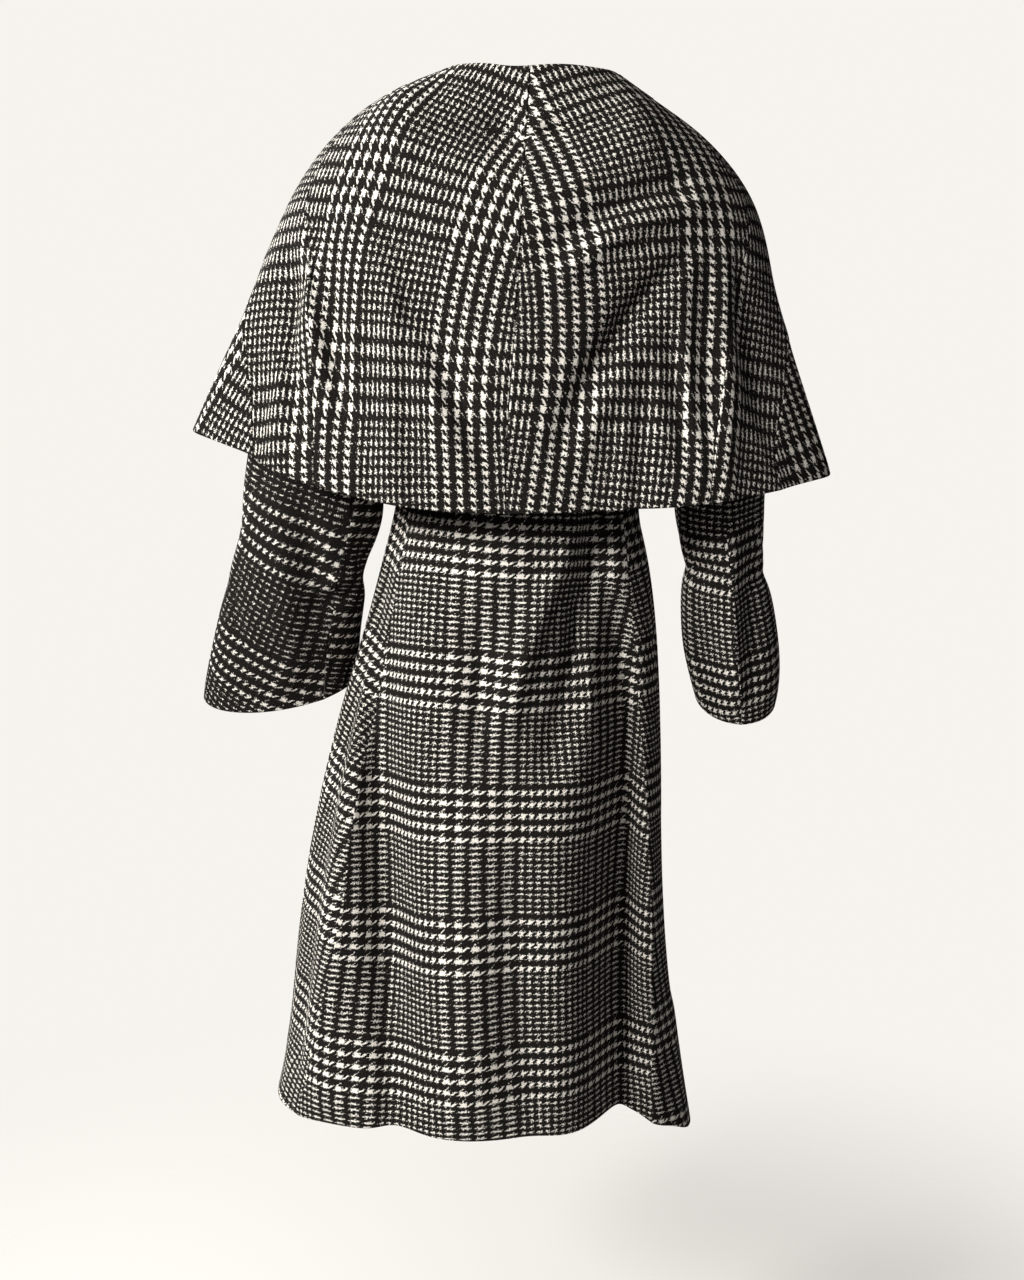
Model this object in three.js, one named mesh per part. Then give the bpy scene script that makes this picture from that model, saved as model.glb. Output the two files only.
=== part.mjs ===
// A knee-length coat of checked wool with an attached shoulder cape and wide sleeves,
// standing in the hollow form it has when it is worn.
//
// Millimetres. +Z is up, the front faces -Y and the wearer's left is +X. The origin is the
// middle of the neck opening, level with the back of the neckline.
//
// Every panel is a wall of cloth. Its outer face lies on a surface that a table of rings
// gives, and its inner face lies one cloth thickness below that.

import * as THREE from 'three';

// ---- driving sizes ----

const CLOTH = 2;          // thickness of the wool coating
const SEAM = 0.3;         // gap between two panels at a seam
const LAP = 30;           // how far each coat front runs past the middle
const LAP_STEP = 2.6;     // how far the under front lies below the upper one
const DEGREE = Math.PI / 180;
const LEFT = 1;
const RIGHT = -1;

// ---- tables: a row for each ring, fold or sleeve section ----

function table(columns, rows) {
  return rows.map((row) => Object.fromEntries(columns.map((column, i) => [column, row[i]])));
}

// A ring has four points: back and front give Y and a height, left and right give X and a
// height, and middle is the X of its back and front. Level is the power of the sine with
// which the height turns to that of the side: 4 keeps a ring level further round than 2.
// The angles are where seams cross it, from the middle of the back towards either side.
const RING = [
  'back', 'backZ', 'left', 'leftZ', 'front', 'frontZ', 'right', 'rightZ', 'middle', 'level',
];

// The cape, from the neckline to its hem. innerSeam and outerSeam bound its side panels.
const capeRings = table([...RING, 'innerSeam', 'outerSeam'], [
  [55, 0, 78, 0, -75, -48, -74, -8, 8, 2, 76, 104],
  [77, -36, 119, -16, -92, -78, -110, -33, 11, 2, 76, 102],
  [101, -70, 157, -34, -107, -109, -147, -57, 13, 2, 76, 101],
  [120, -105, 191, -62, -120, -141, -179, -88, 15, 2, 76, 100],
  [133, -147, 219, -95, -131, -174, -204, -123, 17, 2, 72, 98],
  [142, -188, 241, -132, -140, -208, -219, -166, 19, 2, 63, 94],
  [148, -229, 260, -171, -148, -243, -228, -209, 22, 2, 54, 86],
  [154, -271, 276, -212, -154, -279, -239, -252, 25, 2, 47, 75],
  [159, -312, 295, -251, -159, -315, -253, -294, 28, 2, 42, 67],
  [165, -354, 314, -290, -164, -351, -269, -336, 30, 2, 38, 60],
  [170, -396, 333, -330, -168, -388, -286, -377, 31, 2, 35, 54],
]);

// The coat, from the neckline to its hem. leftSeam and rightSeam are its shoulder seams
// above the armholes and its side seams below them. A waist seam parts its bodice from
// its skirt, level with the cape's hem.
const coatRings = table([...RING, 'leftSeam', 'rightSeam'], [
  [52.8, -1.4, 75.6, -2.6, -72.8, -49.5, -71.8, -10.6, 8, 2, 90, 90],
  [69, -28, 110, -28, -84, -73, -106, -38, 9, 2, 90, 90],
  [83, -52, 140, -46, -96, -97, -138, -62, 10, 2, 90, 90],
  [91, -72, 160, -64, -105, -121, -156, -80, 10, 2, 90, 90],
  [96, -104, 163, -100, -112, -147, -158, -110, 10, 2, 90, 90],
  [100, -136, 163, -134, -117, -172, -153, -141, 11, 2, 90, 90],
  [103, -169, 160, -168, -121, -197, -146, -172, 11, 2, 88, 88],
  [104, -203, 157, -202, -124, -222, -137, -204, 12, 3, 86, 86],
  [104, -238, 153, -236, -125, -248, -129, -236, 12, 3, 84, 84],
  [103, -291, 147, -290, -118, -297, -119, -290, 15, 3, 77, 75],
  [103, -345, 141, -345, -109, -348, -107, -345, 18, 3, 69, 66],
  [105, -400, 137, -400, -103, -400, -98, -400, 22, 4, 62, 58],
  [112, -459, 152, -460, -107, -460, -113, -460, 27, 4, 58, 54],
  [122, -528, 171, -530, -114, -530, -123, -530, 32, 4, 54, 53],
  [134, -606, 195, -611, -122, -611, -128, -611, 36, 4, 49, 55],
  [147, -696, 217, -703, -131, -703, -131, -705, 42, 4, 48, 58],
  [159, -776, 233, -784, -141, -783, -132, -790, 47, 4, 46, 60],
  [172, -858, 247, -877, -153, -868, -137, -886, 52, 4, 48, 58],
  [183, -936, 258, -965, -165, -948, -149, -980, 54, 4, 53, 55],
  [190, -994, 272, -1028, -175, -1008, -161, -1055, 55, 4, 55, 52],
]);

// A fold is a soft trough or ridge along a line from one place to another. A place is an
// angle round from the middle of the back, + to the left, and a height. Width is half of
// the fold's width and depth is + outwards, both given at either end. Heading is the way
// that the fold stands out, as an angle.
const FOLD = [
  'angle', 'z', 'width', 'depth', 'toAngle', 'toZ', 'toWidth', 'toDepth', 'heading',
];

const capeFolds = table(FOLD, [
  [30, -80, 13, -7, -22, -92, 13, -7, 0],
  [48, -120, 20, 5, 12, -330, 26, 9, 20],
  [22, -270, 20, -6, 4, -400, 26, -8, 10],
  [-44, -120, 22, -7, -14, -165, 20, -3, -20],
  [-26, -215, 26, -9, -14, -420, 30, -10, -20],
  [-48, -200, 24, 6, -30, -420, 30, 6, -40],
  [62, -150, 18, -4, 52, -350, 24, -6, 50],
]);

const coatFolds = table(FOLD, [
  [-50, -540, 18, -8, -43, -1040, 30, -46, -5],
  [-68, -560, 22, 4, -68, -1050, 30, 18, -40],
  [-18, -470, 18, -7, -8, -620, 24, -4, 0],
  [-34, -500, 16, 5, -26, -660, 24, 7, -20],
  [42, -620, 16, -5, 30, -870, 26, -12, 30],
  [33, -600, 22, 4, 6, -920, 34, 9, 10],
]);

// A sleeve below the armhole: a ring's height and reach, and how far it drops for each
// millimetre towards the front and outwards.
const SECTION = ['z', 'inner', 'outer', 'back', 'front', 'dropBack', 'dropOut'];

const leftSections = table(SECTION, [
  [-270, 160, 266, 52, -50, 0, 0],
  [-330, 154, 277, 50, -48, 0, 0],
  [-385, 150, 287, 48, -47, 0, 0],
  [-430, 150, 294, 45, -49, 0.04, 0.04],
  [-468, 163, 305, 40, -54, 0.08, 0.08],
  [-485, 165, 308, 37, -55, 0.12, 0.1],
  [-505, 168, 316, 34, -62, 0.16, 0.12],
  [-555, 177, 331, 14, -82, 0.24, 0.13],
  [-588, 180, 340, 1, -95, 0.3, 0.13],
  [-608, 182, 344, -5, -101, 0.34, 0.14],
]);

const rightSections = table(SECTION, [
  [-270, 137, 229, 62, -60, 0, 0],
  [-330, 134, 225, 64, -58, 0, 0],
  [-385, 132, 222, 65, -56, 0, 0],
  [-430, 133, 222, 65, -57, 0.02, 0],
  [-462, 141, 226, 64, -60, 0.05, 0],
  [-476, 146, 223, 59, -58, 0.08, 0],
  [-494, 142, 231, 60, -68, 0.1, 0],
  [-550, 144, 243, 52, -80, 0.14, 0],
  [-592, 154, 246, 42, -88, 0.18, 0],
  [-615, 161, 243, 34, -92, 0.2, 0],
]);

// The armhole is an oval in the coat's surface, from its shoulder ring to its underarm
// ring. It opens this far either side of its middle line.
const SHOULDER_RING = 3;
const UNDERARM_RING = 8;
const WAIST_RING = 11;
const ARMHOLE_HALF_ANGLE = 36;
const ARMHOLE_STEPS = 10;       // on each of its two edges
const ARMHOLE_GAP = 0.5;        // between its edge and the sleeve
const SLEEVE_HEAD_STEPS = 8;    // rings between the armhole and the first section
const SLEEVE_START = new THREE.Vector3(0.78, 0, -0.62).normalize();
const SLEEVE_START_PULL = 0.75; // how far the head holds each end's direction, as a
const SLEEVE_END_PULL = 0.9;    // share of the way between them

// ---- values and points between rows ----

const lerp = THREE.MathUtils.lerp;

// A column's value at a row number, which may lie between two rows.
function valueAt(rows, column, row) {
  const last = rows.length - 1;
  const i = Math.min(Math.floor(row), last - 1);
  const t = row - i;
  const before = rows[Math.max(i - 1, 0)][column];
  const here = rows[i][column];
  const next = rows[i + 1][column];
  const after = rows[Math.min(i + 2, last)][column];
  const slope = (next - before) / 2;
  const nextSlope = (after - here) / 2;
  const bend = 3 * (next - here) - 2 * slope - nextSlope;
  const twist = 2 * (here - next) + slope + nextSlope;
  return here + t * (slope + t * (bend + t * twist));
}

// The point of a ring at an angle, before any fold. The height turns from that of the
// ring's back or front to that of its side.
function ringPoint(rings, angle, row) {
  const at = (column) => valueAt(rings, column, row);
  const ahead = Math.cos(angle);
  const aside = Math.sin(angle);
  const end = ahead > 0 ? 'back' : 'front';
  const side = aside > 0 ? 'left' : 'right';
  const middle = at('middle');
  const height = lerp(at(end + 'Z'), at(side + 'Z'), Math.abs(aside) ** at('level'));
  return new THREE.Vector3(
    middle + Math.abs(aside) * (at(side) - middle), Math.abs(ahead) * at(end), height,
  );
}

// How far the folds move the surface at a point.
function foldShift(folds, point, angle) {
  const radius = Math.hypot(point.x, point.y);
  const shift = new THREE.Vector3();
  for (const fold of folds) {
    const alongX = (fold.toAngle - fold.angle) * DEGREE * radius;
    const alongZ = fold.toZ - fold.z;
    const awayX = (angle - fold.angle * DEGREE) * radius;
    const awayZ = point.z - fold.z;
    const share = (awayX * alongX + awayZ * alongZ) / (alongX ** 2 + alongZ ** 2);
    const t = THREE.MathUtils.clamp(share, 0, 1);
    const distance = Math.hypot(awayX - t * alongX, awayZ - t * alongZ);
    const width = lerp(fold.width, fold.toWidth, t);
    const depth = lerp(fold.depth, fold.toDepth, t) * Math.exp(-((distance / width) ** 2));
    shift.x += depth * Math.sin(fold.heading * DEGREE);
    shift.y += depth * Math.cos(fold.heading * DEGREE);
  }
  return shift;
}

function foldedSurface(rings, folds) {
  return (angle, row) => {
    const point = ringPoint(rings, angle, row);
    return point.add(foldShift(folds, point, angle));
  };
}

const capeSurface = foldedSurface(capeRings, capeFolds);
const coatSurface = foldedSurface(coatRings, coatFolds);

const NORMAL_STEP = 0.02;   // how far apart the points that give a normal lie, either way

// The outward normal of a surface(around, down) at a place. Rows run from 0 to lastRow.
function normalAt(surface, around, down, lastRow) {
  const above = Math.max(down - NORMAL_STEP, 0);
  const below = Math.min(down + NORMAL_STEP, lastRow);
  const across = surface(around + NORMAL_STEP, down).sub(surface(around - NORMAL_STEP, down));
  const along = surface(around, below).sub(surface(around, above));
  return across.cross(along).normalize();
}

// ---- walls of cloth ----

// A closed wall between two grids of points, outer and inner, each given as lines of points.
function closedWall(name, outer, inner, material) {
  const lines = outer.length;
  const width = outer[0].length;
  const positions = [...outer.flat(), ...inner.flat()].flatMap((p) => [p.x, p.y, p.z]);
  const outerIndex = (line, i) => line * width + i;
  const innerIndex = (line, i) => (lines + line) * width + i;
  const faces = [];
  const addQuad = (a, b, c, d) => faces.push(a, b, c, a, c, d);
  for (let line = 0; line < lines - 1; line += 1) {
    for (let i = 0; i < width - 1; i += 1) {
      addQuad(
        outerIndex(line, i), outerIndex(line, i + 1),
        outerIndex(line + 1, i + 1), outerIndex(line + 1, i),
      );
      addQuad(
        innerIndex(line, i), innerIndex(line + 1, i),
        innerIndex(line + 1, i + 1), innerIndex(line, i + 1),
      );
    }
    addQuad(
      outerIndex(line, 0), outerIndex(line + 1, 0),
      innerIndex(line + 1, 0), innerIndex(line, 0),
    );
    addQuad(
      outerIndex(line, width - 1), innerIndex(line, width - 1),
      innerIndex(line + 1, width - 1), outerIndex(line + 1, width - 1),
    );
  }
  for (let i = 0; i < width - 1; i += 1) {
    addQuad(outerIndex(0, i + 1), outerIndex(0, i), innerIndex(0, i), innerIndex(0, i + 1));
    addQuad(
      outerIndex(lines - 1, i), outerIndex(lines - 1, i + 1),
      innerIndex(lines - 1, i + 1), innerIndex(lines - 1, i),
    );
  }
  const geometry = new THREE.BufferGeometry();
  geometry.setAttribute('position', new THREE.Float32BufferAttribute(positions, 3));
  geometry.setIndex(faces);
  geometry.computeVertexNormals();
  const mesh = new THREE.Mesh(geometry, material);
  mesh.name = name;
  return mesh;
}

// A panel of a surface whose rows run from 0 to lastRow. places gives the angles of its
// points on a line, from one edge to the other, and each edge is drawn in by half of the
// seam's gap. inset is how far the outer face lies below the surface at a place.
function panel(name, { surface, lastRow, lines, places, material, inset = () => 0 }) {
  const outer = [];
  const inner = [];
  for (const row of lines) {
    const angles = places(row);
    const points = angles.map((angle) => surface(angle, row));
    const normals = angles.map((angle) => normalAt(surface, angle, row, lastRow));
    const first = points[1].clone().sub(points[0]).setLength(SEAM / 2);
    const last = points.at(-2).clone().sub(points.at(-1)).setLength(SEAM / 2);
    points[0].add(first);
    points.at(-1).add(last);
    points.forEach((point, i) => point.addScaledVector(normals[i], -inset(angles[i], row)));
    outer.push(points);
    inner.push(points.map((point, i) => point.clone().addScaledVector(normals[i], -CLOTH)));
  }
  return closedWall(name, outer, inner, material);
}

// Values from one to another in equal steps, without the last.
function stepsBetween(from, to, steps) {
  return Array.from({ length: steps }, (_, i) => lerp(from, to, i / steps));
}

// The same with the last.
function evenly(from, to, steps) {
  return [...stepsBetween(from, to, steps), to];
}

function cloth(colour, roughness) {
  return new THREE.MeshStandardMaterial({ color: colour, roughness, metalness: 0 });
}

const checkedWool = cloth(0x6e675e, 0.92);

// Places for the left side, or turned about for the right.
function mirrored(angles, side) {
  return side === LEFT ? angles : angles.map((angle) => -angle).reverse();
}

// ---- the cape: back, side and front panels on either side ----

const CAPE_LAST = capeRings.length - 1;
const CAPE_LINES = evenly(0, CAPE_LAST, 14);
const CAPE_FRONT_TOP = 179;       // angle of the front edges at the neckline
const CAPE_FRONT_SPREAD = 9;      // how far they have parted at the hem

const capePanels = [
  { name: 'back', columns: 12, inner: () => 0, outer: (row) => capeSeam('innerSeam', row) },
  {
    name: 'side', columns: 5,
    inner: (row) => capeSeam('innerSeam', row), outer: (row) => capeSeam('outerSeam', row),
  },
  { name: 'front', columns: 10, inner: (row) => capeSeam('outerSeam', row), outer: capeEdge },
];

function capeSeam(column, row) {
  return valueAt(capeRings, column, row) * DEGREE;
}

function capeEdge(row) {
  return (CAPE_FRONT_TOP - CAPE_FRONT_SPREAD * row / CAPE_LAST) * DEGREE;
}

function capePanel({ name, columns, inner, outer }, side) {
  return panel(`cape_${name}_${side === LEFT ? 'left' : 'right'}`, {
    surface: capeSurface,
    lastRow: CAPE_LAST,
    lines: CAPE_LINES,
    material: checkedWool,
    places: (row) => mirrored(evenly(inner(row), outer(row), columns), side),
  });
}

// ---- the coat: a back and two fronts, each with a bodice and a skirt ----

const COAT_LAST = coatRings.length - 1;
const ARMHOLE_MIDDLE = (SHOULDER_RING + UNDERARM_RING) / 2;
const ARMHOLE_HALF = (UNDERARM_RING - SHOULDER_RING) / 2;
const BACK_COLUMNS = 18;
const FRONT_COLUMNS = 9;          // from the side seam to the lap
const LAP_COLUMNS = 2;
const ANGLE_SLACK = 0.01;         // for comparing one angle with another

// Half of the waist seam's gap, as a share of the way from one ring to the next.
const WAIST_SHARE = SEAM / (
  coatRings[WAIST_RING - 1].backZ - coatRings[WAIST_RING + 1].backZ
);

const coatParts = [
  {
    part: 'bodice',
    lines: [
      ...stepsBetween(0, SHOULDER_RING, 5),
      ...stepsBetween(0, ARMHOLE_STEPS, ARMHOLE_STEPS).map(
        (step) => ARMHOLE_MIDDLE - ARMHOLE_HALF * Math.cos(step / ARMHOLE_STEPS * Math.PI),
      ),
      ...evenly(UNDERARM_RING, WAIST_RING - WAIST_SHARE, 5),
    ],
  },
  { part: 'skirt', lines: evenly(WAIST_RING + WAIST_SHARE, COAT_LAST, 15) },
];

// How far the armhole's edges stand from its middle line at a row.
function armholeOpening(row) {
  const reach = (row - ARMHOLE_MIDDLE) / ARMHOLE_HALF;
  return ARMHOLE_HALF_ANGLE * DEGREE * Math.sqrt(Math.max(1 - reach * reach, 0));
}

function coatSeam(side, row) {
  return valueAt(coatRings, side === LEFT ? 'leftSeam' : 'rightSeam', row) * DEGREE;
}

// The lap as an angle, which each front runs past the middle.
function lapAngle(row) {
  const width = valueAt(coatRings, 'left', row) - valueAt(coatRings, 'right', row);
  return 2 * LAP / width;
}

// A front's places: from its side seam to where the lap begins, and over the lap.
function frontPlaces(side, row) {
  const lap = lapAngle(row);
  const start = coatSeam(side, row) + armholeOpening(row);
  const lapStart = Math.PI - lap;
  return mirrored([
    ...stepsBetween(start, lapStart, FRONT_COLUMNS),
    ...evenly(lapStart, Math.PI + lap, LAP_COLUMNS),
  ], side);
}

// The left front is drawn in where the right one lies over it.
function lapInset(angle, row) {
  return angle > Math.PI - lapAngle(row) - ANGLE_SLACK ? LAP_STEP : 0;
}

function backPlaces(row) {
  const opening = armholeOpening(row);
  return evenly(opening - coatSeam(RIGHT, row), coatSeam(LEFT, row) - opening, BACK_COLUMNS);
}

function coatPieces({ part, lines }) {
  const common = { surface: coatSurface, lastRow: COAT_LAST, lines, material: checkedWool };
  return [
    panel(`coat_back_${part}`, { ...common, places: backPlaces }),
    panel(`coat_front_left_${part}`, {
      ...common, places: (row) => frontPlaces(LEFT, row), inset: lapInset,
    }),
    panel(`coat_front_right_${part}`, {
      ...common, places: (row) => frontPlaces(RIGHT, row),
    }),
  ];
}

// ---- the sleeves: an upper and an under piece each ----

const TURN = 2 * Math.PI;

// A place on the armhole's edge: share 0 is the shoulder, 1/4 the back, 1/2 the underarm.
function armholePoint(side, share) {
  const row = ARMHOLE_MIDDLE - ARMHOLE_HALF * Math.cos(share * TURN);
  const opening = ARMHOLE_HALF_ANGLE * DEGREE * Math.sin(share * TURN);
  return coatSurface(side * (coatSeam(side, row) - opening), row);
}

// The start of a sleeve: the armhole's edge, moved into the hole by the gap.
function sleeveHeadPoint(side, share) {
  const point = armholePoint(side, share);
  const edge = armholePoint(side, share + 0.01).sub(armholePoint(side, share - 0.01));
  const row = ARMHOLE_MIDDLE - ARMHOLE_HALF * Math.cos(share * TURN);
  const opening = ARMHOLE_HALF_ANGLE * DEGREE * Math.sin(share * TURN);
  const angle = side * (coatSeam(side, row) - opening);
  const inwards = edge.cross(normalAt(coatSurface, angle, row, COAT_LAST)).normalize();
  return point.addScaledVector(inwards, side * ARMHOLE_GAP);
}

function sectionPoint(side, share, row) {
  const sections = side === LEFT ? leftSections : rightSections;
  const at = (column) => valueAt(sections, column, row);
  const outwards = (at('outer') - at('inner')) / 2 * Math.cos(share * TURN);
  const backwards = (at('back') - at('front')) / 2 * Math.sin(share * TURN);
  return new THREE.Vector3(
    side * ((at('outer') + at('inner')) / 2 + outwards),
    (at('back') + at('front')) / 2 + backwards,
    at('z') - at('dropBack') * backwards - at('dropOut') * outwards,
  );
}

// The whole sleeve: rows 0 to 1 are its head, from the armhole to the first section, and
// each later row is a section. It bends from outwards to downwards over the head.
function sleeveSurface(side) {
  return (around, row) => {
    const share = -side * around;
    if (row > 1) {
      return sectionPoint(side, share, row - 1);
    }
    const start = sleeveHeadPoint(side, share);
    const end = sectionPoint(side, share, 0);
    const length = start.distanceTo(end);
    const outwards = SLEEVE_START.clone().multiply(new THREE.Vector3(side, 1, 1));
    const downwards = sectionPoint(side, share, 0.05).sub(end).normalize();
    const t = row;
    const blend = t * t * (3 - 2 * t);
    return start.lerp(end, blend)
      .addScaledVector(outwards, SLEEVE_START_PULL * length * t * (1 - t) ** 2)
      .addScaledVector(downwards, -SLEEVE_END_PULL * length * t * t * (1 - t));
  };
}

const SLEEVE_LAST = leftSections.length;
const SLEEVE_LINES = [
  ...stepsBetween(0, 1, SLEEVE_HEAD_STEPS),
  ...stepsBetween(1, SLEEVE_LAST, 15),
  SLEEVE_LAST,
];

// The seams' places round each sleeve, as shares of a turn from the top by way of the back.
const sleeveSeams = table(['side', 'label', 'backSeam', 'frontSeam'], [
  [LEFT, 'left', 0.35, 0.8],
  [RIGHT, 'right', 0.25, 0.75],
]);

function sleevePieces({ side, label, backSeam, frontSeam }) {
  const piece = (name, first, second) => panel(`sleeve_${label}_${name}`, {
    surface: sleeveSurface(side),
    lastRow: SLEEVE_LAST,
    lines: SLEEVE_LINES,
    material: checkedWool,
    places: () => mirrored(
      evenly(first, second, Math.round((second - first) * 2 * ARMHOLE_STEPS)), -side,
    ),
  });
  return [
    piece('upper', frontSeam - 1, backSeam),
    piece('under', backSeam, frontSeam),
  ];
}

// ---- the whole garment ----

const capeCoat = new THREE.Group();
capeCoat.add(...coatParts.flatMap(coatPieces));
for (const side of [LEFT, RIGHT]) {
  capeCoat.add(...capePanels.map((shape) => capePanel(shape, side)));
}
capeCoat.add(...sleeveSeams.flatMap(sleevePieces));

export default capeCoat;
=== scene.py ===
"""A knee-length cape coat of checked wool, standing in the hollow form it has when worn.

Each panel of cloth starts as the outer face of its solid in the frame. It is smoothed, its
creases are pushed in and out, it is laid out flat to find how its check runs, and then it
gets the thickness of the wool, rolled seams and turned hems. Everything is in metres, +Z up,
the front at -Y and the wearer's left at +X.
"""
import math

import bmesh
import bpy
from mathutils import Matrix, Vector


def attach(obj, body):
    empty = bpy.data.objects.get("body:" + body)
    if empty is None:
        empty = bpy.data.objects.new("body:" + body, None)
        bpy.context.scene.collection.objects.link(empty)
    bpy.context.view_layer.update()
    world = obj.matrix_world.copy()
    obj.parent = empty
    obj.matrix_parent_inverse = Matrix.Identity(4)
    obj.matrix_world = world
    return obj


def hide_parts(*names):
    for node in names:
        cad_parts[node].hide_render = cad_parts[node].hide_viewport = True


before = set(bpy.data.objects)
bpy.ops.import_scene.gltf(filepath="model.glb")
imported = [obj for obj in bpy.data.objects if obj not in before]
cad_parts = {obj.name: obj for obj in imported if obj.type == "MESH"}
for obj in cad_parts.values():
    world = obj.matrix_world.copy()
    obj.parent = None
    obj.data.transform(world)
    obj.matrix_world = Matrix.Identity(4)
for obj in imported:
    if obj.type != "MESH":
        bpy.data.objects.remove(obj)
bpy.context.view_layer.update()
MM = 0.001


# ---- the wool: a glen check ----
# Black and off-white woollen yarns in a two-and-two twill. Both ways of the cloth, bands of
# four dark and four light threads alternate with bands of two and two, so that rows of
# large hound's teeth cross fields of small ones. The black yarn is the fuller one: its
# fibres close over the edges of the light yarn and leave ragged stars and dashes of it.

THREAD_ACROSS = 1.95 * MM    # from one warp thread to the next
THREAD_ALONG = 1.38 * MM     # from one weft thread to the next
WIDE_BAND = 40               # threads in a band of fours
WARP_REPEAT = 80             # threads from one such band to the next across the cloth
WEFT_REPEAT = 88             # and along it
BLACK_YARN = (0.0035, 0.003, 0.0027, 1)
BLACK_YARN_WORN = (0.034, 0.030, 0.0265, 1)
LIGHT_YARN = (0.90, 0.855, 0.785, 1)
LIGHT_YARN_GREY = (0.56, 0.52, 0.46, 1)
COVERED = 0.7                # how far the black fibres reach over the light yarn, in threads
COVERED_FOR_PAINTED_SHADE = 0.98          # the same on the left sleeve, which looks darker than the rest: painted shade, as that sleeve lies in shade
FULL_BODY = 0.24             # how much less they do where light crosses light
FULL_ALONG = 0.12            # how much less they do along the rows, where the yarn is full
FLAT_BETWEEN = 0.16          # how much more they do between the rows
RAGGED = 0.75                # how unevenly they do so, in threads
TUFTED = 0.3                 # and how unevenly again in single tufts
EDGE = (-0.08, 0.14)         # the soft edge between black and light, in threads
CLOUDY = (0.3, 0.55)         # the share of the noise that turns worn yarn to full
ASTRAY = 0.35                # how far a yarn strays sideways, in threads
NOISE_SPREAD = 4             # brings a noise of about a quarter either way to about 1
YARNS_STRAY = 210            # how fine the straying is, in waves a metre
FIBRES_FRAY = 640
TUFTS = 1250
CLOUDS = 1000
HAIRS = 1700
BUMP = 0.6                   # how strongly the yarns and hairs stand out
ROUGH = 0.95
SHINE = 0.05


class Shade:
    """An output of a shader node. Python's operators on it add Math nodes."""

    def __init__(self, tree, output=None):
        self.tree = tree
        self.output = output

    def node(self, kind, settings=(), inputs=(), output=0):
        """Adds a node, sets it up, fills or links its sockets and gives one of its outputs."""
        made = self.tree.nodes.new(kind)
        for name, value in dict(settings).items():
            setattr(made, name, value)
        for name, value in dict(inputs).items():
            if isinstance(value, Shade):
                self.tree.links.new(value.output, made.inputs[name])
            else:
                made.inputs[name].default_value = value
        return Shade(self.tree, made.outputs[output])

    def beside(self, output):
        """Another output of the same node."""
        return Shade(self.tree, self.output.node.outputs[output])

    def math(self, operation, *others):
        return self.node(
            "ShaderNodeMath", {"operation": operation}, enumerate((self, *others)),
        )

    def __add__(self, other):
        return self.math("ADD", other)

    def __mul__(self, other):
        return self.math("MULTIPLY", other)

    def __sub__(self, other):
        return self.math("SUBTRACT", other)

    def __rsub__(self, other):
        return self.node(
            "ShaderNodeMath", {"operation": "SUBTRACT"}, enumerate((other, self)),
        )

    def __truediv__(self, other):
        return self.math("DIVIDE", other)

    def __lt__(self, other):
        return self.math("LESS_THAN", other)

    def __gt__(self, other):
        return self.math("GREATER_THAN", other)

    __radd__ = __add__
    __rmul__ = __mul__


def depth_in_stripe(thread, stripe):
    """How deep in a light stripe a place is, in threads; below 0 in a dark stripe."""
    phase = (thread / (2 * stripe)).math("FRACT")
    return stripe * 0.5 - (phase - 0.75).math("ABSOLUTE") * (2 * stripe)


def depth_in_light(thread, repeat):
    """The same across the bands: stripes of four threads, then stripes of two."""
    place = (thread / repeat).math("FRACT") * repeat
    wide = place < WIDE_BAND
    return wide * depth_in_stripe(place, 4) + (1 - wide) * depth_in_stripe(place, 2)


def noise_at(shade, where, scale, detail, roughness, output="Fac"):
    return shade.node(
        "ShaderNodeTexNoise",
        {"noise_dimensions": "2D"},
        {"Vector": where, "Scale": scale, "Detail": detail, "Roughness": roughness},
        output,
    )


def mixed(shade, factor, first, second):
    """Two colours mixed. Sockets 6 and 7 of a Mix node are its two colours."""
    return shade.node(
        "ShaderNodeMix", {"data_type": "RGBA"}, {0: factor, 6: first, 7: second}, 2,
    )


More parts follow.
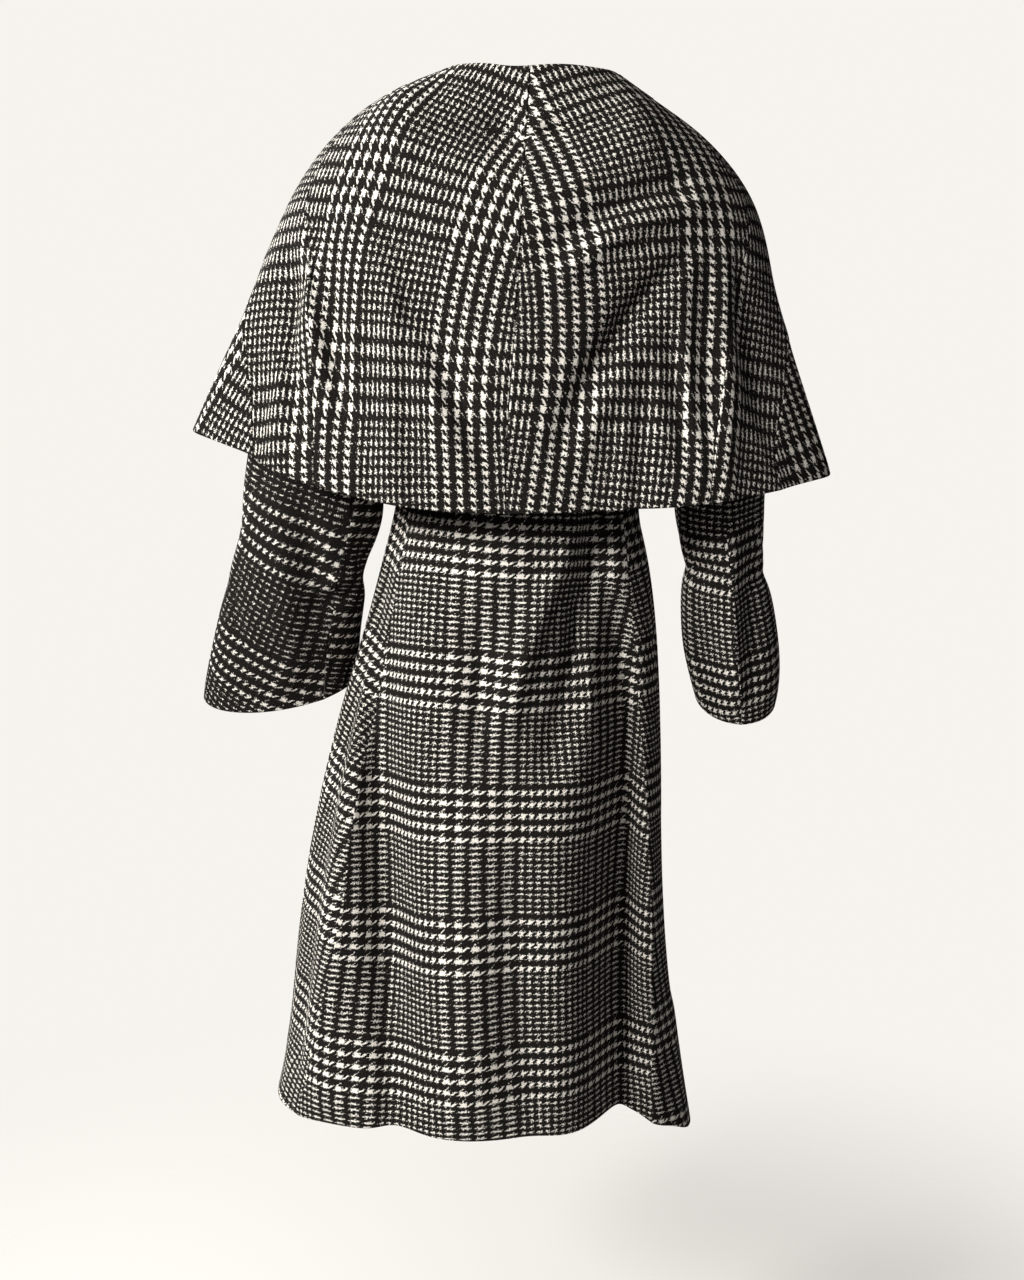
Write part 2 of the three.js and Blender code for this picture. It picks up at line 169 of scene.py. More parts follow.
def woven_check(name, covered):
    """The wool as a material, with the black fibres covering its light yarn by covered."""
    material = bpy.data.materials.new(name)
    material.use_nodes = True
    tree = material.node_tree
    surface = tree.nodes["Principled BSDF"]
    shade = Shade(tree)
    flat = shade.node("ShaderNodeUVMap", {"uv_map": "cloth"})
    across = shade.node("ShaderNodeSeparateXYZ", (), {0: flat}, 0)
    along = across.beside(1)

    # The yarns stray sideways a little.
    stray = noise_at(shade, flat, YARNS_STRAY, 2.0, 0.6, "Color")
    stray_across = shade.node("ShaderNodeSeparateColor", (), {0: stray}, 0)
    stray_along = stray_across.beside(1)
    warp = across / THREAD_ACROSS + (stray_across - 0.5) * (NOISE_SPREAD * ASTRAY)
    weft = along / THREAD_ALONG + (stray_along - 0.5) * (NOISE_SPREAD * ASTRAY)

    # A two-and-two twill: each warp thread passes over two weft threads, then under two,
    # one step further on than its neighbour. Light shows where a light thread is on top.
    # The weft is the fuller yarn, so its rows are nearly closed and the warp lies low.
    warp_light = depth_in_light(warp, WARP_REPEAT)
    weft_light = depth_in_light(weft, WEFT_REPEAT)
    warp_on_top = depth_in_stripe(warp - weft, 2)
    light_depth = (
        ((warp_light + FULL_ALONG).math("MINIMUM", weft_light) + FULL_BODY)
        .math("MAXIMUM", weft_light.math("MINIMUM", FULL_ALONG - warp_on_top))
        .math("MAXIMUM", warp_light.math("MINIMUM", warp_on_top) - FLAT_BETWEEN)
    )

    # The fibres fray at the edges.
    fray = (noise_at(shade, flat, FIBRES_FRAY, 2.0, 0.75) - 0.5) * (NOISE_SPREAD * RAGGED)
    tuft = (noise_at(shade, flat, TUFTS, 1.0, 0.6) - 0.5) * (NOISE_SPREAD * TUFTED)
    edge = light_depth - covered + fray + tuft
    light = shade.node(
        "ShaderNodeMapRange", {"interpolation_type": "SMOOTHSTEP"},
        {"Value": edge, "From Min": EDGE[0], "From Max": EDGE[1], "To Min": 0, "To Max": 1},
    )
    cloudy = noise_at(shade, flat, CLOUDS, 3.0, 0.7)
    toned = shade.node(
        "ShaderNodeMapRange", (),
        {
            "Value": cloudy, "From Min": CLOUDY[0], "From Max": CLOUDY[1],
            "To Min": 0, "To Max": 1,
        },
    )
    pale = mixed(shade, toned, LIGHT_YARN_GREY, LIGHT_YARN)
    dark = mixed(shade, toned, BLACK_YARN_WORN, BLACK_YARN)
    colour = mixed(shade, light, dark, pale)

    round_warp = (across / THREAD_ACROSS).math("FRACT") - 0.5
    round_weft = (along / THREAD_ALONG).math("FRACT") - 0.5
    relief = 0.6 - round_warp * round_warp - round_weft * round_weft
    hair = noise_at(shade, flat, HAIRS, 4.0, 0.75)
    height = relief * 0.5 + hair * 0.9 + light * 0.3
    bump = shade.node(
        "ShaderNodeBump", (), {"Strength": BUMP, "Distance": 0.5 * MM, "Height": height},
    )
    tree.links.new(colour.output, surface.inputs["Base Color"])
    tree.links.new(bump.output, surface.inputs["Normal"])
    surface.inputs["Roughness"].default_value = ROUGH
    surface.inputs["Specular IOR Level"].default_value = SHINE
    return material


glen_check = woven_check("glen_check", COVERED)
# The left sleeve's copy of the wool, with more black over the light yarn, is painted shade.
glen_check_painted_shade = woven_check("glen_check_painted_shade", COVERED_FOR_PAINTED_SHADE)


# ---- the coat's body: bodice and skirt, each a back and two fronts ----
# Six panels of the wool, sewn at the shoulders, the sides and the waist. The fronts lap
# plainly, right over left. The skirt flares and falls in a few long soft folds.

CLOTH = 2 * MM               # thickness of the wool
ROLL = 0.9 * MM              # how wide a seam's edge rolls over
ROLL_DEPTH = 0.5 * MM        # how deep it rolls in
SMOOTH_BEFORE = 2            # subdivisions before the creases
SMOOTH_AFTER = 1             # and after the cloth is laid out flat
SAME_PLACE = 0.01 * MM       # points of a solid that are nearer than this are one
RIM_SLACK = 0.004 * MM       # how far an edge of a wall's rim may be off the cloth's thickness

# A crease is a soft trough or ridge on a line as seen from one side. View is the way that
# side faces: 0 is the back, 90 the wearer's left, and TOP is from above, where y takes the
# place of z. Across and z are its two ends, and bow is how far its middle strays from the
# straight line. Minus and plus are its half widths on its two sides, plus being the side
# where across grows on a crease that runs down, and it is spread times as wide at its end.
# Start, middle and end are how far it stands out there. All lengths are in millimetres.
TOP = "top"
UP = Vector((0, 0, 1))
CREASE_REACH = 2.6           # how far a crease is felt, in half widths
CREASE_TURN = 2.5            # how soon it fades as the cloth turns away from its view
CREASE_TIP = 15              # the longest run-out past its ends
CREASE = (
    "view", "across", "z", "to_across", "to_z", "bow", "minus", "plus", "spread",
    "start", "middle", "end",
)

SKIRT_CREASES = [
    # the left of the back: a long trough with a roll beside it
    (0, 160, -480, 138, -990, -3, 22, 16, 1.2, -12, -36, -20),
    (0, 186, -580, 196, -980, 4, 14, 20, 1.2, 5, 15, 9),
    (0, 108, -430, 100, -640, 0, 18, 18, 1.3, 3, 7, 3),
    # the middle: a pull from the right of the waist down to the left
    (0, -26, -446, 26, -600, 5, 8, 14, 1.5, 5, 16, 4),
    (0, -50, -400, -10, -640, -7, 12, 9, 1.6, -20, -27, -7),
    (0, -38, -460, -50, -600, 0, 6, 6, 1.3, 6, 12, 2),
    (0, -60, -410, -74, -600, 0, 8, 9, 1.4, -9, -12, -3),
    (0, 96, -560, 36, -630, 14, 10, 12, 1, 1, 6, 1),
    (0, 56, -505, 50, -625, 0, 12, 12, 1, -3, -9, -2),
    (0, 74, -690, 68, -985, -6, 22, 24, 1.2, 2, 7, 4),
    (0, 22, -650, 8, -1000, 8, 18, 16, 1.3, -1, -7, -4),
    (0, -24, -640, -34, -990, 4, 18, 20, 1.2, 0, 5, 3),
    # the right of the back: a deep trough that falls in from the left, and its roll
    (0, -80, -500, -80, -1040, -6, 9, 34, 1.05, -12, -27, -13),
    (0, -100, -540, -120, -1040, 0, 10, 15, 1.1, 6, 21, 12),
    # the sides and the front
    (90, -30, -430, -52, -960, 8, 22, 18, 1.4, -4, -12, -9),
    (90, 30, -520, 40, -990, -6, 16, 20, 1.4, 1, 8, 7),
    (90, -96, -560, -120, -1000, 4, 18, 24, 1.3, 0, 8, 8),
    (180, -112, -440, -128, -930, -8, 20, 26, 1.3, -5, -14, -8),
    (180, -64, -560, -66, -1000, 5, 18, 20, 1.3, 1, 8, 7),
    (180, -20, -450, -28, -900, 4, 13, 17, 1.4, -3, -7, -3),
    (180, 46, -430, 60, -960, -7, 18, 22, 1.4, -4, -12, -11),
    (180, 92, -520, 104, -1000, 3, 16, 22, 1.3, 1, 8, 8),
    (270, 0, -430, 14, -900, 8, 16, 22, 1.3, -4, -11, -7),
    (270, -62, -500, -74, -1000, -5, 20, 20, 1.3, 1, 8, 8),
]
WAIST_DARTS = [
    (0, 98, -398, 98, -458, 0, 3, 3, 1, -4, -3, 0),
    (0, -19, -398, -19, -458, 0, 3, 3, 1, -4, -3, 0),
    (0, 92, -398, 94, -440, 0, 5, 3, 1, 1.5, 1.5, 0),
    (0, -25, -398, -23, -440, 0, 5, 3, 1, 1.5, 1.5, 0),
]
BLADE_CREASES = [
    # the hollow under the neck and the shoulder blades beside it, which the cape follows
    (TOP, 30, 62, 26, 112, 0, 26, 40, 1.1, -5, -10, -3),
    (TOP, 122, 30, 130, 84, 0, 34, 22, 1.1, 4, 9, 3),
    (TOP, -84, 34, -92, 88, 0, 22, 32, 1.1, 3, 7, 2),
    (0, 30, -30, 26, -84, 0, 22, 34, 1.2, -5, -10, -2),
    (0, 128, -36, 132, -96, 0, 34, 20, 1.2, 4, 8, 2),
    (0, -18, -34, -16, -84, 0, 22, 16, 1.2, -3, -6, -2),
    (0, -92, -40, -100, -92, 0, 20, 32, 1.2, 3, 7, 2),
]
COAT_HEART = (30, 0)


def outer_skin(node):
    """The outer face of a node's wall, as the grid of quads that its triangles came from."""
    mesh = bmesh.new()
    mesh.from_mesh(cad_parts[node].data)
    bmesh.ops.remove_doubles(mesh, verts=mesh.verts[:], dist=SAME_PLACE)
    rim = [
        face for face in mesh.faces
        if any(abs(edge.calc_length() - CLOTH) < RIM_SLACK for edge in face.edges)
    ]
    bmesh.ops.delete(mesh, geom=rim, context="FACES")
    skins = []
    waiting = set(mesh.faces)
    while waiting:
        skin = set()
        edge_of_skin = [waiting.pop()]
        while edge_of_skin:
            face = edge_of_skin.pop()
            skin.add(face)
            beside = {f for edge in face.edges for f in edge.link_faces} & waiting
            waiting -= beside
            edge_of_skin.extend(beside)
        skins.append(skin)
    outer = max(skins, key=lambda skin: sum(face.calc_area() for face in skin))
    others = [face for face in mesh.faces if face not in outer]
    bmesh.ops.delete(mesh, geom=others, context="FACES")

    # The triangles' edges come in the same order round each: across, along, diagonal.
    corner = next(f for f in mesh.faces if sum(e.is_boundary for e in f.edges) == 2)
    order = {}
    todo = [next(loop for loop in corner.loops if not loop.edge.is_boundary)]
    order[todo[0]] = 0
    while todo:
        loop = todo.pop()
        for step in range(3):
            order[loop] = order.get(loop, 0)
            across = loop.link_loop_radial_next
            if across not in order:
                order[across] = order[loop]
                todo.append(across)
            order.setdefault(loop.link_loop_next, (order[loop] + 1) % 3)
            loop = loop.link_loop_next
    diagonals = {loop.edge for loop, place in order.items() if place == 0}
    in_order = [edge for edge in mesh.edges if edge in diagonals]
    bmesh.ops.dissolve_edges(mesh, edges=in_order, use_verts=False)
    return mesh


def smoothed(piece, levels):
    """Subdivides a piece's mesh and applies it."""
    modifier = piece.modifiers.new("smooth", "SUBSURF")
    modifier.levels = modifier.render_levels = levels
    modifier.boundary_smooth = "PRESERVE_CORNERS"
    apply_modifiers(piece)


def apply_modifiers(piece):
    view = bpy.context.evaluated_depsgraph_get()
    mesh = bpy.data.meshes.new_from_object(piece.evaluated_get(view))
    piece.modifiers.clear()
    old = piece.data
    piece.data = mesh
    bpy.data.meshes.remove(old)
    mesh.name = piece.name


def fade(value):
    """0 up to 0, 1 from 1 on, and a soft step between."""
    value = min(max(value, 0), 1)
    return value * value * (3 - 2 * value)


def crease(piece, rows, heart):
    """Pushes a piece's points in and out along its creases.

    Heart is x and y of the upright line that the cloth hangs round. A crease fades out
    where the cloth turns away from its view, so that both edges of a seam move alike.
    """
    mesh = piece.data
    moves = [Vector() for _ in mesh.vertices]
    outward = [
        Vector((v.co.x - heart[0] * MM, v.co.y - heart[1] * MM, 0)).normalized()
        for v in mesh.vertices
    ]
    for row in rows:
        fold = dict(zip(CREASE, row))
        from_above = fold["view"] == TOP
        turn = 0 if from_above else math.radians(fold["view"])
        facing = Vector((math.sin(turn), math.cos(turn), 0))
        start = Vector((fold["across"], fold["z"])) * MM
        run = Vector((fold["to_across"], fold["to_z"])) * MM - start
        length = run.length
        run.normalize()
        widest = max(fold["minus"], fold["plus"]) * max(fold["spread"], 1) * MM
        reach = CREASE_REACH * widest + abs(fold["bow"]) * MM
        for vertex, move, out in zip(mesh.vertices, moves, outward):
            place = vertex.co
            away_across = place.x * facing.y - place.y * facing.x - start.x
            away_up = (place.y if from_above else place.z) - start.y
            along = away_across * run.x + away_up * run.y
            if not -reach < along < length + reach:
                continue
            aside = run.x * away_up - run.y * away_across
            if abs(aside) > reach:
                continue
            turned = 1 if from_above else fade(CREASE_TURN * out.dot(facing))
            if turned == 0:
                continue
            share = min(max(along / length, 0), 1)
            aside -= fold["bow"] * MM * 4 * share * (1 - share)
            past = max(-along, along - length, 0)
            width = (fold["plus"] if aside > 0 else fold["minus"]) * MM
            width *= 1 + (fold["spread"] - 1) * share
            rise = (
                fold["start"] * (1 - share) * (1 - 2 * share)
                + fold["middle"] * 4 * share * (1 - share)
                + fold["end"] * share * (2 * share - 1)
            )
            fall = (aside / width) ** 2 + (past / min(width, CREASE_TIP * MM)) ** 2
            way = UP if from_above else facing
            move += way * (rise * MM * math.exp(-fall) * turned)
    for vertex, move in zip(mesh.vertices, moves):
        vertex.co = vertex.co + move
    mesh.update()


def lay_flat(piece, top, foot, start, lean=(0, 0), bend=0, quarter=0, ease=(1, 1)):
    """Lays a piece out flat, as it is cut, in a map named cloth, and gives its flat size.

    Top and foot are two places on it, in millimetres, and the line between them is upright.
    The cloth lies as woven, its threads counted to the left and down, or is turned a quarter
    to the left, 1, or right, -1. Start is the warp and the weft thread that cross at top.
    Its rows rise to the right by lean, in degrees, at the top and at the foot, and bend up
    on both sides by bend times the distance squared, in metres. Ease is how far steaming
    and wear have stretched it across and along.
    """
    for other in bpy.context.selected_objects:
        other.select_set(False)
    bpy.context.view_layer.objects.active = piece
    piece.select_set(True)
    mesh = piece.data
    mesh.uv_layers.new(name="cloth")
    bpy.ops.object.mode_set(mode="EDIT")
    bpy.ops.mesh.select_all(action="SELECT")
    bpy.ops.uv.unwrap(method="MINIMUM_STRETCH", margin=0)
    bpy.ops.object.mode_set(mode="OBJECT")
    mesh = piece.data
    layer = mesh.uv_layers["cloth"].uv
    flat_at = {}
    flat_area = 0
    for polygon in mesh.polygons:
        corners = [layer[loop].vector.copy() for loop in polygon.loop_indices]
        for a, b in zip(corners, corners[1:] + corners[:1]):
            flat_area += (a.x * b.y - a.y * b.x) / 2
        flat_at.update(zip(polygon.vertices, corners))
    scale = math.sqrt(sum(p.area for p in mesh.polygons) / abs(flat_area))

    def nearest(place):
        goal = Vector(place) * MM
        found = min(mesh.vertices, key=lambda v: (v.co - goal).length_squared)
        return flat_at[found.index]

    origin = nearest(top)
    up = origin - nearest(foot)
    spin = Matrix.Rotation(math.pi / 2 - math.atan2(up.y, up.x), 2)
    height = up.length * scale
    top_lean, foot_lean = (math.radians(angle) for angle in lean)

    def lean_at(row):
        return top_lean + (foot_lean - top_lean) * min(max(-row / height, 0), 1)

    for corner in layer:
        x, y = spin @ (corner.vector - origin) * scale
        row = y
        for _ in range(3):
            row = y - x * math.tan(lean_at(row)) - bend * x * x
        column = x / math.cos(lean_at(row)) + row * math.sin((top_lean + lean_at(row)) / 2)
        warp, weft = {0: (-column, -row), 1: (-row, column), -1: (row, -column)}[quarter]
        corner.vector = (
            warp / ease[0] + start[0] * THREAD_ACROSS,
            weft / ease[1] + start[1] * THREAD_ALONG,
        )
    spots = [spin @ (spot - origin) * scale for spot in flat_at.values()]
    return (
        max(s.x for s in spots) - min(s.x for s in spots),
        max(s.y for s in spots) - min(s.y for s in spots),
        abs(flat_area) * scale * scale,
    )


def roll_edges(piece):
    """Rolls the edges of a piece in, as at a seam or a turned hem."""
    mesh = bmesh.new()
    mesh.from_mesh(piece.data)
    bmesh.ops.inset_region(
        mesh, faces=mesh.faces[:], thickness=ROLL, use_boundary=True, use_even_offset=True,
    )
    mesh.normal_update()
    for vertex in mesh.verts:
        if vertex.is_boundary:
            vertex.co -= vertex.normal * ROLL_DEPTH
    mesh.to_mesh(piece.data)
    mesh.free()


def sew(node, grain, heart, creases, sharp_creases=(), wool=glen_check):
    """Makes one panel from its node, with its check, its creases and its rolled edges.

    The sharp creases come last, when the mesh is at its finest.
    """
    mesh = outer_skin(node)
    data = bpy.data.meshes.new(node)
    mesh.to_mesh(data)
    mesh.free()
    piece = bpy.data.objects.new("cloth_" + node, data)
    bpy.context.scene.collection.objects.link(piece)
    smoothed(piece, SMOOTH_BEFORE)
    crease(piece, creases, heart)
    width, length, area = lay_flat(piece, **grain)
    smoothed(piece, SMOOTH_AFTER)
    crease(piece, sharp_creases, heart)
    roll_edges(piece)
    shell = piece.modifiers.new("wool", "SOLIDIFY")
    shell.thickness = CLOTH
    shell.offset = -1
    apply_modifiers(piece)
    for polygon in piece.data.polygons:
        polygon.use_smooth = True
    piece.data.materials.clear()
    piece.data.materials.append(wool)
    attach(piece, "root")
    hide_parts(node)


# How the check lies on each panel.
COAT_GRAIN = {
    "coat_back_bodice": {
        "top": (9, 69, -30), "foot": (22, 105, -395), "start": (10, -262), "ease": (1.02, 1.04),
    },
    "coat_front_left_bodice": {
        "top": (60, -90, -60), "foot": (60, -95, -395), "start": (30, -240),
        "ease": (1.02, 1.04),
    },
    "coat_front_right_bodice": {
        "top": (-30, -90, -60), "foot": (-25, -95, -395), "start": (6, -240),
        "ease": (1.02, 1.04),
    },
    "coat_back_skirt": {
        "top": (22, 105, -405), "foot": (55, 188, -980), "start": (10.2, -0.6),
        "lean": (-0.2, 4.4), "ease": (1.017, 1.037),
    },
    "coat_front_left_skirt": {
        "top": (60, -95, -405), "foot": (100, -160, -980), "start": (30, 0),
        "bend": 0.5, "ease": (1.02, 1.04),
    },
    "coat_front_right_skirt": {
        "top": (0, -100, -405), "foot": (10, -160, -980), "start": (6, 0),
        "bend": 0.5, "ease": (1.02, 1.04),
    },
}
for coat_node, coat_grain in COAT_GRAIN.items():
    if "skirt" in coat_node:
        sew(coat_node, coat_grain, COAT_HEART, SKIRT_CREASES, WAIST_DARTS)
    else:
        sew(coat_node, coat_grain, COAT_HEART, BLADE_CREASES)


# ---- the sleeves: an upper and an under piece each ----
# Wide two-piece sleeves of the same wool. They hang from the armholes under the cape and
# widen below the elbow, where each breaks in a soft fold.

SLEEVE_CREASES = [
    # the left sleeve, where it breaks at the elbow and swings out
    (0, 178, -500, 236, -520, 3, 7, 8, 1.4, -9, -6, 0),
    (0, 180, -482, 230, -488, 0, 8, 8, 1.2, 5, 3, 0),
    (0, 182, -530, 228, -560, 3, 8, 8, 1.3, 5, 3, 0),
    (0, 262, -400, 240, -600, -6, 14, 16, 1.4, 2, 6, 4),
    (0, 222, -390, 205, -560, 4, 12, 12, 1.4, -3, -7, -3),
    (0, 296, -420, 292, -590, 5, 10, 12, 1.4, 0, -5, -4),
    (90, -40, -380, 10, -470, 6, 9, 10, 1.5, -1, -3, -1),
    (180, -285, -400, -270, -570, 5, 12, 12, 1.4, -3, -9, -4),
    (180, -235, -430, -240, -580, 5, 12, 12, 1.4, 3, 8, 4),
    # the right sleeve
    (0, -238, -462, -196, -470, 2, 6, 7, 1.3, -8, -6, 0),
    (0, -150, -468, -186, -476, -2, 6, 7, 1.3, -8, -5, 0),
    (0, -236, -445, -200, -450, 0, 7, 7, 1.2, 4, 3, 0),
    (0, -232, -485, -196, -500, 0, 8, 8, 1.2, 4, 3, 0),
    (0, -204, -400, -212, -600, 3, 14, 8, 1.2, -4, -10, -6),
    (0, -184, -400, -194, -600, 2, 7, 14, 1.2, 3, 8, 5),
    (0, -165, -500, -170, -600, 3, 12, 10, 1.3, -1, -5, -4),
    (270, 20, -440, -30, -500, 5, 9, 9, 1.4, -7, -8, -1),
    (180, 200, -420, 205, -590, 4, 12, 12, 1.4, -3, -8, -4),
]
SLEEVE_GRAIN = {
    "sleeve_left_upper": {
        "top": (266, 20, -270), "foot": (330, -20, -590), "start": (20, -72.2),
        "lean": (-4.6, -16.9), "ease": (1.02, 1.18),
    },
    "sleeve_left_under": {
        "top": (175, 20, -300), "foot": (190, -30, -590), "start": (20, -60),
        "lean": (-5, -15), "ease": (1.02, 1.1),
    },
    "sleeve_right_upper": {
        "top": (-229, 10, -270), "foot": (-243, -20, -590), "start": (20, -106),
        "lean": (0, 0), "ease": (1.02, 1.02),
    },
    "sleeve_right_under": {
        "top": (-145, 10, -300), "foot": (-165, -20, -590), "start": (20, -92),
        "lean": (0, 0), "ease": (1.02, 1.06),
    },
}
for sleeve_node, sleeve_grain in SLEEVE_GRAIN.items():
    if "left" in sleeve_node:
        # the left sleeve is darkened through its wool: painted shade
        sew(sleeve_node, sleeve_grain, (250, 0), SLEEVE_CREASES, wool=glen_check_painted_shade)
    else:
        sew(sleeve_node, sleeve_grain, (-195, 10), SLEEVE_CREASES)


# ---- the cape: back, side and front panels on either side ----
# Six panels of the same wool, cut with the cloth turned a quarter round and sewn into the
# neckline with the coat. A seam down the middle of the back meets in a chevron.

CAPE_CREASES = [
    # the back's left half: a long ridge, and a fold that hangs from it
    (0, 160, -122, 44, -384, 10, 9, 18, 1.3, 2, 8, 3),
    (0, 92, -226, 34, -390, 6, 10, 10, 1.4, -1, -4, -2),
    (0, 129, -190, 126, -385, 3, 5, 9, 1.4, 1, 3, 1),
    (0, 118, -190, 114, -390, 3, 8, 6, 1.4, -1, -3, -1),
    (0, 150, -205, 154, -385, 3, 8, 9, 1.4, -1, -6, -3),
    # the right half: the long pull from the arm to the middle of the back
    (0, -66, -92, -8, -120, 3, 9, 9, 1.2, 2, 5, 1),
    (0, -126, -110, -12, -162, 8, 8, 8, 1.2, -5, -10, -3),
    (0, -142, -132, -20, -188, 10, 7, 12, 1.3, 7, 11, 3),
    (0, -138, -164, -20, -330, 14, 8, 8, 1.5, -5, -14, -5),
    (0, -98, -246, -34, -362, 8, 9, 12, 1.3, 2, 5, 1),
    (0, -86, -250, -76, -390, 3, 6, 7, 1.4, 0, 3, 2),
    (0, -98, -265, -90, -390, 3, 7, 6, 1.4, 0, -4, -3),
    (0, -116, -226, -132, -350, 2, 7, 7, 1.4, -1, -9, -4),
    (0, -134, -242, -146, -370, 2, 7, 8, 1.4, 1, 3, 1),
    (0, -156, -150, -150, -330, 4, 12, 11, 1.3, -3, -11, -5),
    (0, -178, -240, -172, -390, 2, 8, 9, 1.3, 1, 7, 5),
    # the left side, over the arm
    (0, 216, -130, 200, -270, 5, 7, 9, 1.3, 2, 11, 4),
    (0, 231, -170, 216, -330, 4, 8, 9, 1.3, -3, -11, -4),
    (0, 186, -176, 172, -330, 4, 10, 9, 1.3, -2, -10, -4),
    (0, 250, -212, 238, -350, 3, 9, 12, 1.3, 2, 5, 3),
    (0, 270, -250, 268, -370, 2, 9, 9, 1.3, -2, -5, -4),
    (90, -76, -150, -92, -350, 4, 10, 12, 1.4, -3, -9, -7),
    (90, -38, -190, -46, -360, -4, 11, 10, 1.4, 3, 9, 7),
    (90, 6, -140, 10, -350, 5, 12, 12, 1.4, -3, -12, -8),
    (90, 46, -200, 58, -370, -3, 11, 11, 1.4, 1, 8, 7),
    (90, 88, -150, 104, -360, 4, 12, 12, 1.4, -3, -11, -7),
    # the right side
    (270, -92, -150, -110, -350, 4, 12, 11, 1.4, -3, -11, -7),
    (270, -44, -180, -56, -370, -4, 11, 12, 1.4, 3, 9, 7),
    (270, -6, -150, -8, -360, 5, 10, 12, 1.4, -3, -11, -8),
    (270, 36, -190, 44, -370, -3, 10, 11, 1.4, 1, 8, 7),
    (270, 74, -160, 86, -370, 4, 12, 10, 1.4, -3, -11, -7),
    # the front
    (180, -176, -140, -196, -370, 5, 12, 14, 1.4, -3, -12, -8),
    (180, -128, -170, -140, -380, -4, 12, 12, 1.4, 3, 9, 7),
    (180, -84, -110, -92, -370, 4, 11, 13, 1.4, -3, -9, -7),
    (180, 66, -120, 82, -370, 5, 11, 12, 1.4, -3, -11, -8),
    (180, 112, -180, 128, -380, -4, 12, 12, 1.4, 3, 9, 7),
    (180, 156, -150, 172, -370, 4, 12, 12, 1.4, -3, -11, -7),
]
CAPE_HEART = (25, 0)
SHARP_CAPE_CREASES = [
    (0, 104, -60, 12, -70, -5, 8, 6, 1, 0, -7, -4),
    (0, 12, -70, -70, -58, -4, 7, 8, 1, -4, -6, 0),
    (0, 88, -48, 6, -54, -4, 6, 7, 1, 0, 2, 1.5),
    (0, 6, -54, -50, -48, -3, 7, 6, 1, 1.5, 2, 0),
    (0, 74, -88, 32, -85, 3, 4, 5, 1, 0, -3, -1),
    (0, -30, -54, -84, -46, 4, 5, 5, 1, 0, -3.5, 0),
]
CAPE_GRAIN = {
    "cape_back_left": {
        "top": (10, 55, -1), "foot": (31, 165, -394), "start": (100.8, 44.5),
        "lean": (-19.5, -0.4), "quarter": -1, "ease": (1.0, 1.075),
    },
    "cape_back_right": {
        "top": (6, 55, -1), "foot": (30, 165, -394), "start": (-75.7, 40.8),
        "lean": (22, -1.8), "quarter": 1, "ease": (0.93, 1.15),
    },
    "cape_side_left": {
        "top": (78, 0, -2), "foot": (260, 110, -370), "start": (62, 60),
        "quarter": -1, "ease": (1.05, 1.1),
    },
    "cape_side_right": {
        "top": (-72, 0, -10), "foot": (-200, 110, -380), "start": (0, 60),
        "quarter": 1, "ease": (1.05, 1.1),
    },
    "cape_front_left": {
        "top": (60, -55, -30), "foot": (150, -165, -380), "start": (62, 30),
        "quarter": -1, "ease": (1.05, 1.1),
    },
    "cape_front_right": {
        "top": (-50, -55, -30), "foot": (-130, -165, -380), "start": (0, 30),
        "quarter": 1, "ease": (1.05, 1.1),
    },
}
for cape_node, cape_grain in CAPE_GRAIN.items():
    sew(cape_node, cape_grain, CAPE_HEART, BLADE_CREASES + CAPE_CREASES, SHARP_CAPE_CREASES)


# ---- the studio ----
# A wide pale floor that fades into an even pale surround, two soft lamps on the wearer's
# left, a weak one behind and one for the front.

PALE = (0.922, 0.896, 0.855, 1)
FLOOR_PAINT = (0.70, 0.68, 0.65, 1)
FLOOR_LEVEL = -1.5
FLOOR_RADIUS = 9
FLOOR_SOLID = 0.15           # how far from the middle the floor starts to fade
FLOOR_GONE = 1.3             # and where it is gone
SURROUND_LIGHT = 0.1         # how much light the surround casts, against how bright it looks
WARM_WHITE = (1, 0.985, 0.96)
LAMPS_AIM = Vector((0, 0, -0.5))
CAMERA_PLACE = Vector((0.025, 1.850, -0.122))
CAMERA_TILT = 13             # degrees below the horizon
CAMERA_REACH = 1.4898        # focal length as a share of the picture's height
SENSOR = 36

studio = bpy.context.scene
studio.view_settings.view_transform = "Standard"
studio.view_settings.look = "None"

world = bpy.data.worlds.new("studio_air")
studio.world = world
world.use_nodes = True
air = Shade(world.node_tree)
background = world.node_tree.nodes["Background"]
background.inputs["Color"].default_value = PALE
seen = air.node("ShaderNodeLightPath", (), (), "Is Camera Ray")
strength = seen * (1 - SURROUND_LIGHT) + SURROUND_LIGHT
world.node_tree.links.new(strength.output, background.inputs["Strength"])

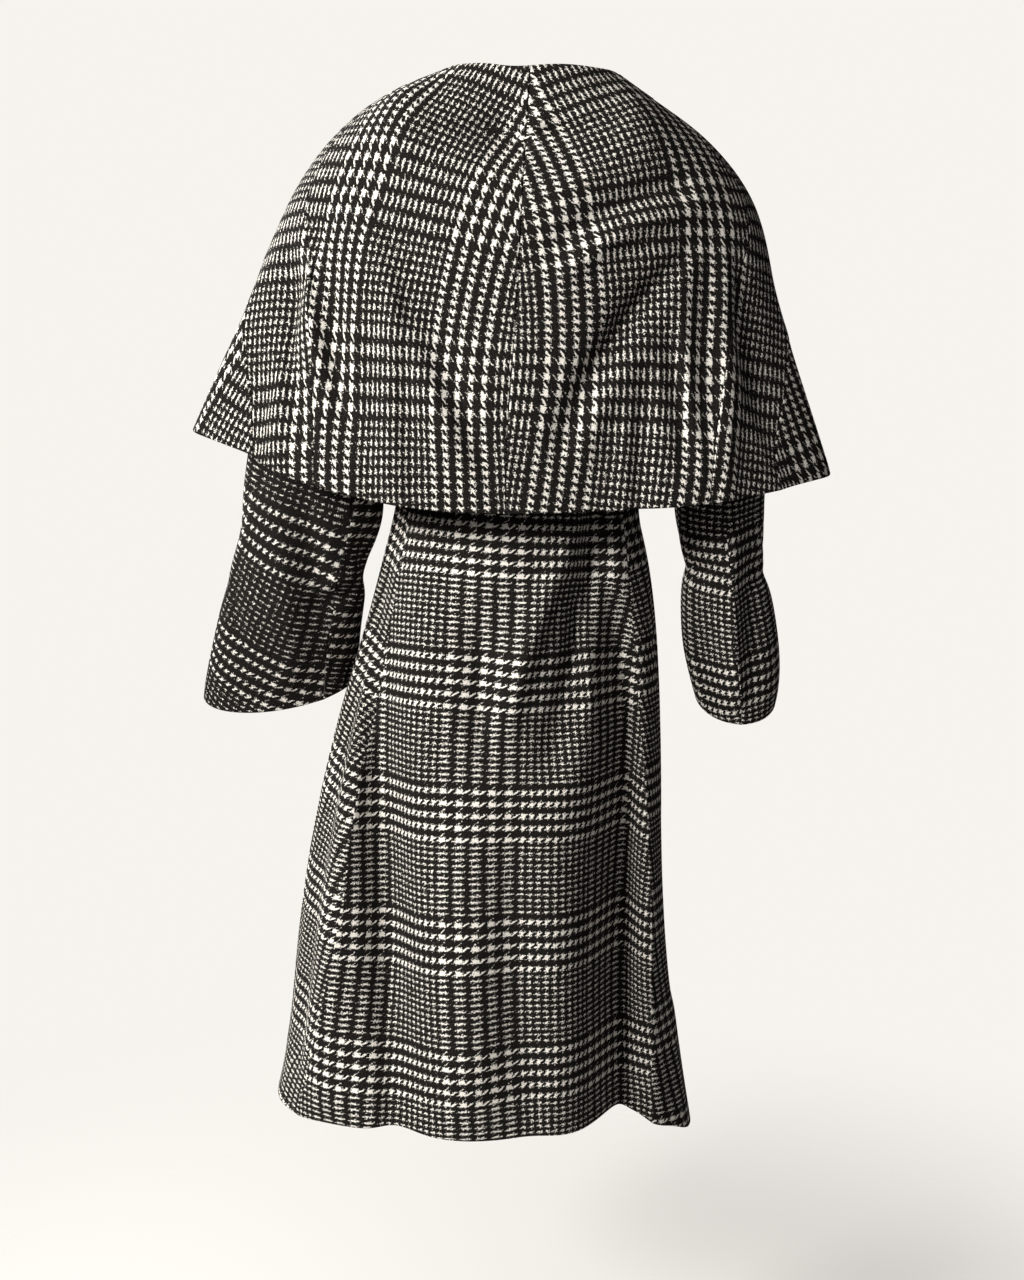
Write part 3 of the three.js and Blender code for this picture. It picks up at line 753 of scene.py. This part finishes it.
floor_mesh = bmesh.new()
bmesh.ops.create_circle(floor_mesh, cap_ends=True, segments=96, radius=FLOOR_RADIUS)
bmesh.ops.translate(floor_mesh, verts=floor_mesh.verts[:], vec=(0, 0, FLOOR_LEVEL))
floor_data = bpy.data.meshes.new("floor")
floor_mesh.to_mesh(floor_data)
floor_mesh.free()
floor = bpy.data.objects.new("floor", floor_data)
studio.collection.objects.link(floor)
floor_paint = bpy.data.materials.new("floor_paint")
floor_paint.use_nodes = True
paint = Shade(floor_paint.node_tree)
spot = paint.node("ShaderNodeTexCoord", (), (), "Object")
flat_spot = paint.node(
    "ShaderNodeVectorMath", {"operation": "MULTIPLY"}, {0: spot, 1: (1, 1, 0)},
)
distance = paint.node("ShaderNodeVectorMath", {"operation": "LENGTH"}, {0: flat_spot}, "Value")
solid = paint.node(
    "ShaderNodeMapRange", {"interpolation_type": "SMOOTHSTEP"},
    {
        "Value": distance, "From Min": FLOOR_SOLID, "From Max": FLOOR_GONE,
        "To Min": 1, "To Max": 0,
    },
)
floor_surface = floor_paint.node_tree.nodes["Principled BSDF"]
floor_surface.inputs["Base Color"].default_value = FLOOR_PAINT
floor_surface.inputs["Roughness"].default_value = 0.9
floor_paint.node_tree.links.new(solid.output, floor_surface.inputs["Alpha"])
floor_data.materials.append(floor_paint)


def soft_lamp(name, place, size, power, tint=(1, 1, 1)):
    lamp_data = bpy.data.lights.new(name, "AREA")
    lamp_data.shape = "DISK"
    lamp_data.size = size
    lamp_data.energy = power
    lamp_data.color = tint
    lamp = bpy.data.objects.new(name, lamp_data)
    lamp.location = place
    lamp.rotation_euler = (LAMPS_AIM - lamp.location).to_track_quat("-Z", "Y").to_euler()
    studio.collection.objects.link(lamp)


soft_lamp("window", (2.75, 1.2, 1.0), 0.7, 95, WARM_WHITE)
soft_lamp("second_window", (1.85, 2.45, 0.9), 0.7, 112, WARM_WHITE)
soft_lamp("camera_fill", (-0.5, 3.0, 0.5), 1.6, 9)
soft_lamp("front_fill", (2.0, -2.3, 0.7), 1.2, 95)

camera_data = bpy.data.cameras.new("camera")
camera_data.sensor_width = SENSOR
camera_data.sensor_fit = "AUTO"
camera_data.lens = SENSOR * CAMERA_REACH
camera = bpy.data.objects.new("camera", camera_data)
camera.location = CAMERA_PLACE
camera.rotation_euler = (math.radians(90 - CAMERA_TILT), 0, math.radians(180))
studio.collection.objects.link(camera)
studio.camera = camera
